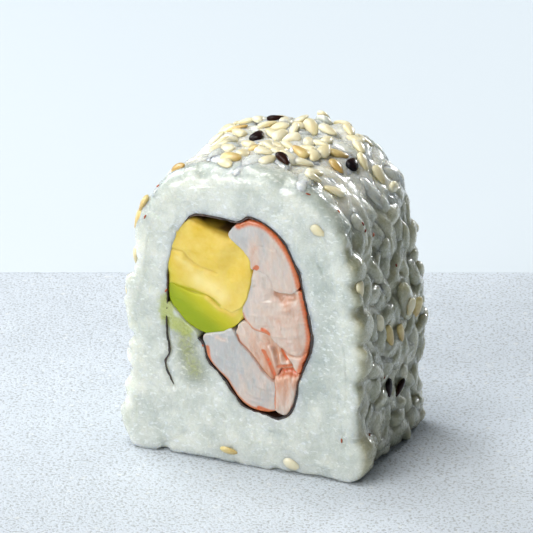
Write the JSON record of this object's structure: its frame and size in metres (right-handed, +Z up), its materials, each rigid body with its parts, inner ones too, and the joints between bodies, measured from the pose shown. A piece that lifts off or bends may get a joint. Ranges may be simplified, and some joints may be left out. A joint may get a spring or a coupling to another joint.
{
  "type": "uramaki roll",
  "caption": "Slice of an inside-out sushi roll: rice around seaweed, avocado and prawn, standing on a small square stone board.",
  "frame": {"origin": "middle of the board's underside", "axes": "+Z up, +X along the board's front edge to the right, +Y towards the board's back edge; the roll's cut face points to the front left"},
  "size_m": [0.104, 0.104, 0.0536],
  "materials": {
    "rice": "moist, translucent",
    "seaweed": "damp, wrinkled",
    "avocado_yellow": "moist, waxy",
    "avocado_green": "moist, waxy",
    "prawn": "moist, fibrous",
    "seeds": "smooth",
    "stone": "matt, grainy"
  },
  "bodies": {
    "root": {"board": "stone", "rice": "rice", "nori": "seaweed", "avocado_upper": "avocado_yellow", "avocado_lower": "avocado_green", "prawn_top": "prawn", "prawn_middle": "prawn", "prawn_fold": "prawn", "prawn_lower": "prawn", "prawn_tip": "prawn"}
  },
  "joints": []
}
